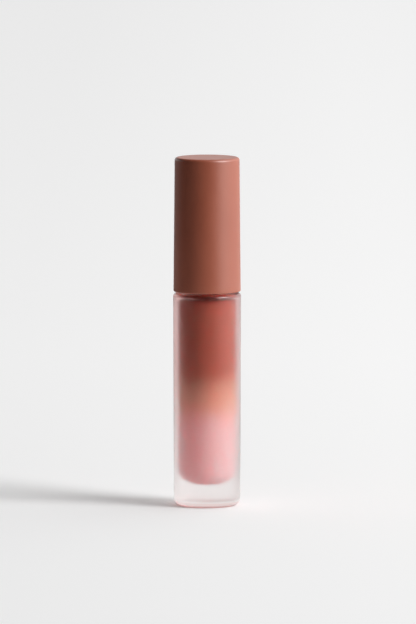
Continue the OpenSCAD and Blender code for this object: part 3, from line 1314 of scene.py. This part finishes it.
@dataclass
class Studio:
    """Pale floor, one soft key lamp from the right, a dim room and the camera.

    The camera sees one pale tone everywhere, with a faint glow that grows towards the back and
    the right. Matte and glossy rays meet a pale sheet near the tube and towards the window, and
    a dark table elsewhere, which gives the tube its lit side and its dark side.
    """

    frame_tall: float = 183.8 * MM  # height of the picture, where the tube stands
    sensor: float = 36.0
    distance: float = 3.0
    elevation: float = 5.9  # degrees over level
    aim: Vector = field(default_factory=lambda: Vector((0.27 * MM, 0.0, 57.2 * MM)))
    far_clip: float = 50.0
    key_turn: float = 27.0  # degrees from the right towards the camera
    key_height: float = 31.0  # degrees over level
    key_distance: float = 6.0
    key_size: float = 3.7
    key_power: float = 354.0
    floor_reach: float = 8.0
    floor_tone: Tone = Tone(243, 243, 243)
    sheet_tone: Tone = Tone(253, 251, 250)
    table_tone: Tone = Tone(45, 44, 43)
    sheet_edge: tuple[float, float] = (0.08, 0.22)  # where the sheet turns into the table
    sheet_glow: float = 0.24  # light that the sheet bounces up by itself
    sheet_glow_edge: tuple[float, float] = (0.04, 0.12)
    backdrop_places: tuple[float, float, float] = (-0.3, 0.4, 2.0)  # front, middle and far Y
    backdrop_levels: tuple[float, float, float] = (0.028, 0.118, 0.204)
    backdrop_side: tuple[float, float] = (0.06, 0.022)  # reach to each side, and its glow
    room_dim: float = 0.02  # the room as glossy rays and glass see it
    fill: float = 0.12  # the room as matte surfaces see it
    window: float = 1.6
    window_axis: Vector = field(default_factory=lambda: Vector((0.85, 0.45, 0.4)).normalized())
    window_edge: float = 0.25
    sweep: float = 1.4  # the pale sweep behind, low over the floor
    sweep_turn: tuple[float, float] = (0.2, 0.7)
    sweep_rise: tuple[float, float] = (0.25, 0.5)
    pale: Tone = Tone(240, 240, 240)

    def build(self) -> None:
        """Make the camera, the lamp, the room and the floor."""
        self.place_camera()
        self.hang_key()
        self.light_room()
        self.lay_floor()
        view = bpy.context.scene.view_settings
        view.view_transform = "Standard"

    def place_camera(self) -> None:
        """Stand the camera back, a little above the tube, with a long lens."""
        data = bpy.data.cameras.new("camera")
        data.sensor_width = self.sensor
        data.lens = self.sensor * self.distance / self.frame_tall
        data.clip_end = self.far_clip
        camera = bpy.data.objects.new("camera", data)
        rise = math.radians(self.elevation)
        camera.location = self.aim + Vector((0, -math.cos(rise), math.sin(rise))) * self.distance
        camera.rotation_euler = (math.radians(90) - rise, 0, 0)
        bpy.context.scene.collection.objects.link(camera)
        bpy.context.scene.camera = camera

    def hang_key(self) -> None:
        """Hang the soft lamp to the right, a little in front."""
        data = bpy.data.lights.new("key", "AREA")
        data.shape = "DISK"
        data.size = self.key_size
        data.energy = self.key_power
        lamp = bpy.data.objects.new("key", data)
        turn = math.radians(self.key_turn)
        rise = math.radians(self.key_height)
        flat = Vector((math.cos(turn), -math.sin(turn), 0)) * math.cos(rise)
        towards = flat + Vector((0, 0, math.sin(rise)))
        lamp.location = self.aim + towards * self.key_distance
        lamp.rotation_euler = towards.to_track_quat("Z", "Y").to_euler()
        bpy.context.scene.collection.objects.link(lamp)

    def light_room(self) -> None:
        """Light the room dimly, with a soft window far to the right and a pale sweep behind."""
        world = bpy.data.worlds.new("room")
        bpy.context.scene.world = world
        world.use_nodes = True
        sketch = NodeSketch(world.node_tree)
        way = sketch.node("ShaderNodeTexCoord").outputs["Generated"]
        towards = sketch.node("ShaderNodeVectorMath", {"operation": "DOT_PRODUCT"})
        sketch.feed(towards.inputs[0], way)
        sketch.feed(towards.inputs[1], self.window_axis)
        rays = sketch.node("ShaderNodeLightPath")
        matte = sketch.math("GREATER_THAN", rays.outputs["Diffuse Depth"], BOUNCED)
        dim = sketch.span(matte, 0, 1, self.room_dim, self.fill)
        window = sketch.span(towards.outputs["Value"], self.window_edge, 1, 0, self.window, smooth=True)
        _, back, up = sketch.axes(way)
        behind = sketch.span(back, *self.sweep_turn, 0, self.sweep, smooth=True)
        low = sketch.span(up, *self.sweep_rise, 1, 0, smooth=True)
        level = sketch.math("MAXIMUM", window, sketch.math("MULTIPLY", behind, low))
        level = sketch.math("MAXIMUM", level, dim)
        room = sketch.node("ShaderNodeBackground", Strength=level)
        backdrop = sketch.node("ShaderNodeBackground", Color=self.pale)
        both = sketch.choose(sketch.plain_view(), room.outputs[0], backdrop.outputs[0])
        sketch.node("ShaderNodeOutputWorld", Surface=both)

    def lay_floor(self) -> None:
        """Lay the floor, whose paleness shows to the camera and keeps the tube's shadow."""
        reach = self.floor_reach
        mesh = bpy.data.meshes.new("floor")
        corners = [(-reach, -reach, 0), (reach, -reach, 0), (reach, reach, 0), (-reach, reach, 0)]
        mesh.from_pydata(corners, [], [(0, 1, 2, 3)])
        floor = bpy.data.objects.new("floor", mesh)
        bpy.context.scene.collection.objects.link(floor)
        sketch = ShaderSketch("studio floor")
        seen = sketch.plain_view()
        right, back, _ = sketch.axes(sketch.place)
        away = sketch.node("ShaderNodeVectorMath", {"operation": "LENGTH"}, Vector=sketch.place)
        near = sketch.span(away.outputs["Value"], *self.sheet_edge, 1, 0)
        lit_way = sketch.math(
            "ADD",
            sketch.math("MULTIPLY", right, self.window_axis.x),
            sketch.math("MULTIPLY", back, self.window_axis.y),
        )
        sheet = sketch.math("MAXIMUM", near, sketch.span(lit_way, 0, self.sheet_edge[1], 0, 1))
        unseen = sketch.blend(sheet, self.table_tone, self.sheet_tone)
        paper = sketch.node("ShaderNodeBsdfDiffuse", Color=sketch.blend(seen, unseen, self.floor_tone))
        front, middle, far = self.backdrop_places
        front_glow, middle_glow, far_glow = self.backdrop_levels
        near_glow = sketch.span(back, front, middle, front_glow, middle_glow)
        more_glow = sketch.span(back, middle, far, 0, far_glow - middle_glow)
        side, side_glow = self.backdrop_side
        tilt = sketch.span(right, -side, side, -side_glow, side_glow)
        glow_level = sketch.math("ADD", sketch.math("ADD", near_glow, more_glow), tilt)
        rising = sketch.span(
            away.outputs["Value"], *self.sheet_glow_edge, self.sheet_glow, 0, smooth=True
        )
        strength = sketch.math(
            "ADD",
            sketch.math("MULTIPLY", seen, glow_level),
            sketch.math("MULTIPLY", sketch.math("SUBTRACT", 1.0, seen), rising),
        )
        glow = sketch.node("ShaderNodeEmission", Strength=strength)
        both = sketch.node("ShaderNodeAddShader")
        sketch.feed(both.inputs[0], paper.outputs[0])
        sketch.feed(both.inputs[1], glow.outputs[0])
        mesh.materials.append(sketch.finished(both.outputs[0]))


def main() -> None:
    """Build each sub-assembly, then the studio."""
    logging.basicConfig(level=logging.INFO, format="%(name)s: %(message)s")
    bottle = Bottle()
    bottle.build()
    Gloss(bottle).build()
    Wiper(bottle).build()
    SealWasher().build()
    Cap().build(bottle)
    Wand().build()
    Studio().build()


if __name__ == "__main__":
    main()
